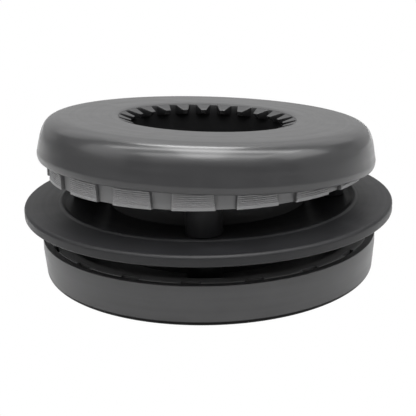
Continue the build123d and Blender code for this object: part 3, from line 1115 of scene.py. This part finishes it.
# ---- studio
@dataclass(frozen=True)
class SoftLight:
    """A soft box that looks at the grommet from a direction."""

    name: str
    towards: float        # degrees round from the back, + to the right
    elevation: float
    distance: float
    width: float
    depth: float
    radiance: float

    def build(self, target: Vector) -> None:
        """Hang the light over a target."""
        data = bpy.data.lights.new(self.name, "AREA")
        data.shape = "RECTANGLE"
        data.size = self.width
        data.size_y = self.depth
        data.energy = self.radiance * math.pi * self.width * self.depth
        lamp = bpy.data.objects.new(self.name, data)
        turn, rise = math.radians(self.towards), math.radians(self.elevation)
        reach = math.cos(rise)
        offset = Vector((math.sin(turn) * reach, math.cos(turn) * reach, math.sin(rise)))
        lamp.location = target + offset * self.distance
        lamp.rotation_euler = (-offset).to_track_quat("-Z", "Y").to_euler()
        lamp.visible_camera = False
        bpy.context.scene.collection.objects.link(lamp)


@dataclass
class Studio:
    """Pale floor, white surroundings, soft lights and the camera, in metres and degrees."""

    elevation: float = 16.52
    distance: float = 0.215
    lens: float = 78.25            # millimetres
    shift: float = -0.0367
    roll: float = 1.3
    target: Vector = field(default_factory=lambda: Vector((0.0, 0.0, 0.0171)))
    floor_radius: float = 4.0
    floor_drop: float = 0.0065     # puts the floor below the lowered bowl
    floor_shade: float = 0.6
    surroundings: float = 0.206    # strength that the surfaces see
    # direction, elevation, distance, width, depth and radiance
    lights: tuple[SoftLight, ...] = (
        SoftLight("soft_strip_overhead", 180.0, 80.0, 0.8, 0.34, 1.2, 3.96),
        SoftLight("soft_box_right", 105.0, 38.0, 0.8, 0.5, 0.4, 2.54),
        SoftLight("soft_box_left", 255.0, 30.0, 0.8, 0.5, 0.4, 1.5),
        SoftLight("white_sweep_low", 0.0, 14.0, 0.9, 2.6, 0.42, 0.31),
        SoftLight("white_sweep_high", 0.0, 45.0, 0.9, 1.8, 0.55, 0.7),
        SoftLight("soft_box_front", 180.0, 45.0, 0.9, 1.2, 0.45, 1.2),
        SoftLight("soft_bar_high", 180.0, 84.0, 0.8, 1.6, 0.2, 5.4),
        SoftLight("soft_bar_low", 180.0, 54.0, 0.8, 1.2, 0.2, 3.04),
        SoftLight("white_wall_right", 90.0, 8.0, 0.9, 1.0, 0.2, 0.37),
        SoftLight("soft_bar_rear", 354.0, 68.0, 0.9, 0.5, 0.12, 10.5),
        SoftLight("soft_box_upper_right", 132.0, 66.0, 0.8, 0.3, 0.3, 1.69),
    )

    def build(self) -> None:
        """Build floor, world, lights and camera."""
        self.floor()
        self.world()
        for light in self.lights:
            light.build(self.target)
        self.camera()

    def floor(self) -> None:
        """Pale floor that lights the grommet from below, and that the camera looks through."""
        bpy.ops.mesh.primitive_circle_add(vertices=96, radius=self.floor_radius, fill_type="NGON")
        floor = bpy.context.object
        floor.name = "pale_floor"
        floor.location.z = -self.floor_drop
        floor.visible_camera = False
        material = bpy.data.materials.new("pale_floor")
        sketch = Sketch.blank(material)
        shade = self.floor_shade
        paint = sketch.add("ShaderNodeBsdfDiffuse", {"Color": (shade, shade, shade, 1.0)})
        sketch.add("ShaderNodeOutputMaterial", {"Surface": paint.outputs[0]})
        floor.data.materials.append(material)

    def world(self) -> None:
        """White surroundings that light the grommet and mirror in it at a lower level."""
        world = bpy.data.worlds.new("white_surroundings")
        bpy.context.scene.world = world
        sketch = Sketch.blank(world)
        path = sketch.add("ShaderNodeLightPath").outputs
        direct = sketch.math("MAXIMUM", path["Is Camera Ray"], path["Is Transmission Ray"])
        dim = self.surroundings    # 1 for rays that only show the background
        strength = sketch.math("MULTIPLY_ADD", direct, 1.0 - dim, dim)
        glow = sketch.add("ShaderNodeBackground", {"Color": WHITE, "Strength": strength})
        sketch.add("ShaderNodeOutputWorld", {"Surface": glow.outputs[0]})

    def camera(self) -> None:
        """Place the camera in front, a little above the flange."""
        data = bpy.data.cameras.new("camera")
        data.sensor_width = 36.0
        data.lens = self.lens
        data.shift_y = self.shift
        data.clip_start = 0.01
        camera = bpy.data.objects.new("camera", data)
        rise = math.radians(self.elevation)
        camera.location = self.target + Vector((0, -math.cos(rise), math.sin(rise))) * self.distance
        upright = Matrix.Rotation(math.pi / 2 - rise, 3, "X")
        rolled = upright @ Matrix.Rotation(math.radians(-self.roll), 3, "Z")
        camera.rotation_euler = rolled.to_euler()
        scene = bpy.context.scene
        scene.collection.objects.link(camera)
        scene.camera = camera
        scene.view_settings.view_transform = "Standard"


# ---- the whole grommet
def cap_lean(joints: Sequence[dict[str, Any]]) -> Matrix:
    """Turn that takes the level top cap to where the frame shows it.

    Args:
        joints: the record's joints.

    Returns:
        The turn about the cap's hinge, in metres.
    """
    hinge = next(j for j in joints if j["name"] == "top_cap_tilt")
    pivot = Matrix.Translation(hinge["pos_m"])
    turn = Matrix.Rotation(math.radians(-hinge["range_deg"][0]), 4, Vector(hinge["axis"]))
    return pivot @ turn @ pivot.inverted()


def main() -> None:
    """Build every sub-assembly in order and log its pieces."""
    logging.basicConfig(level=logging.INFO, format="%(message)s")
    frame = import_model()
    lean = cap_lean(frame["joints"])
    finishes = Finishes(Effects(), lean)
    shared = {"finishes": finishes, "repeat": RoundRepeat()}
    Fasteners(**shared).dress(frame["nodes"])
    groups = [
        FlangePlate(**shared),
        RibbedCollar(**shared),
        RibbedCollar(node="lower_collar", upside_down=True, first_block=-86.0, **shared),
        SpacerPosts(**shared),
        SpacerPosts(level="lower", **shared),
        CableSleeve(**shared),
        TopCap(body="top_cap", lean=lean, **shared),
        LowerCap(body="bowl", **shared),
    ]
    for group in groups:
        group.build()
        for piece in group.pieces:
            LOG.info("%s: %d faces on body %s", piece.name, len(piece.data.polygons), group.body)
    Studio().build()


if __name__ == "__main__":
    main()
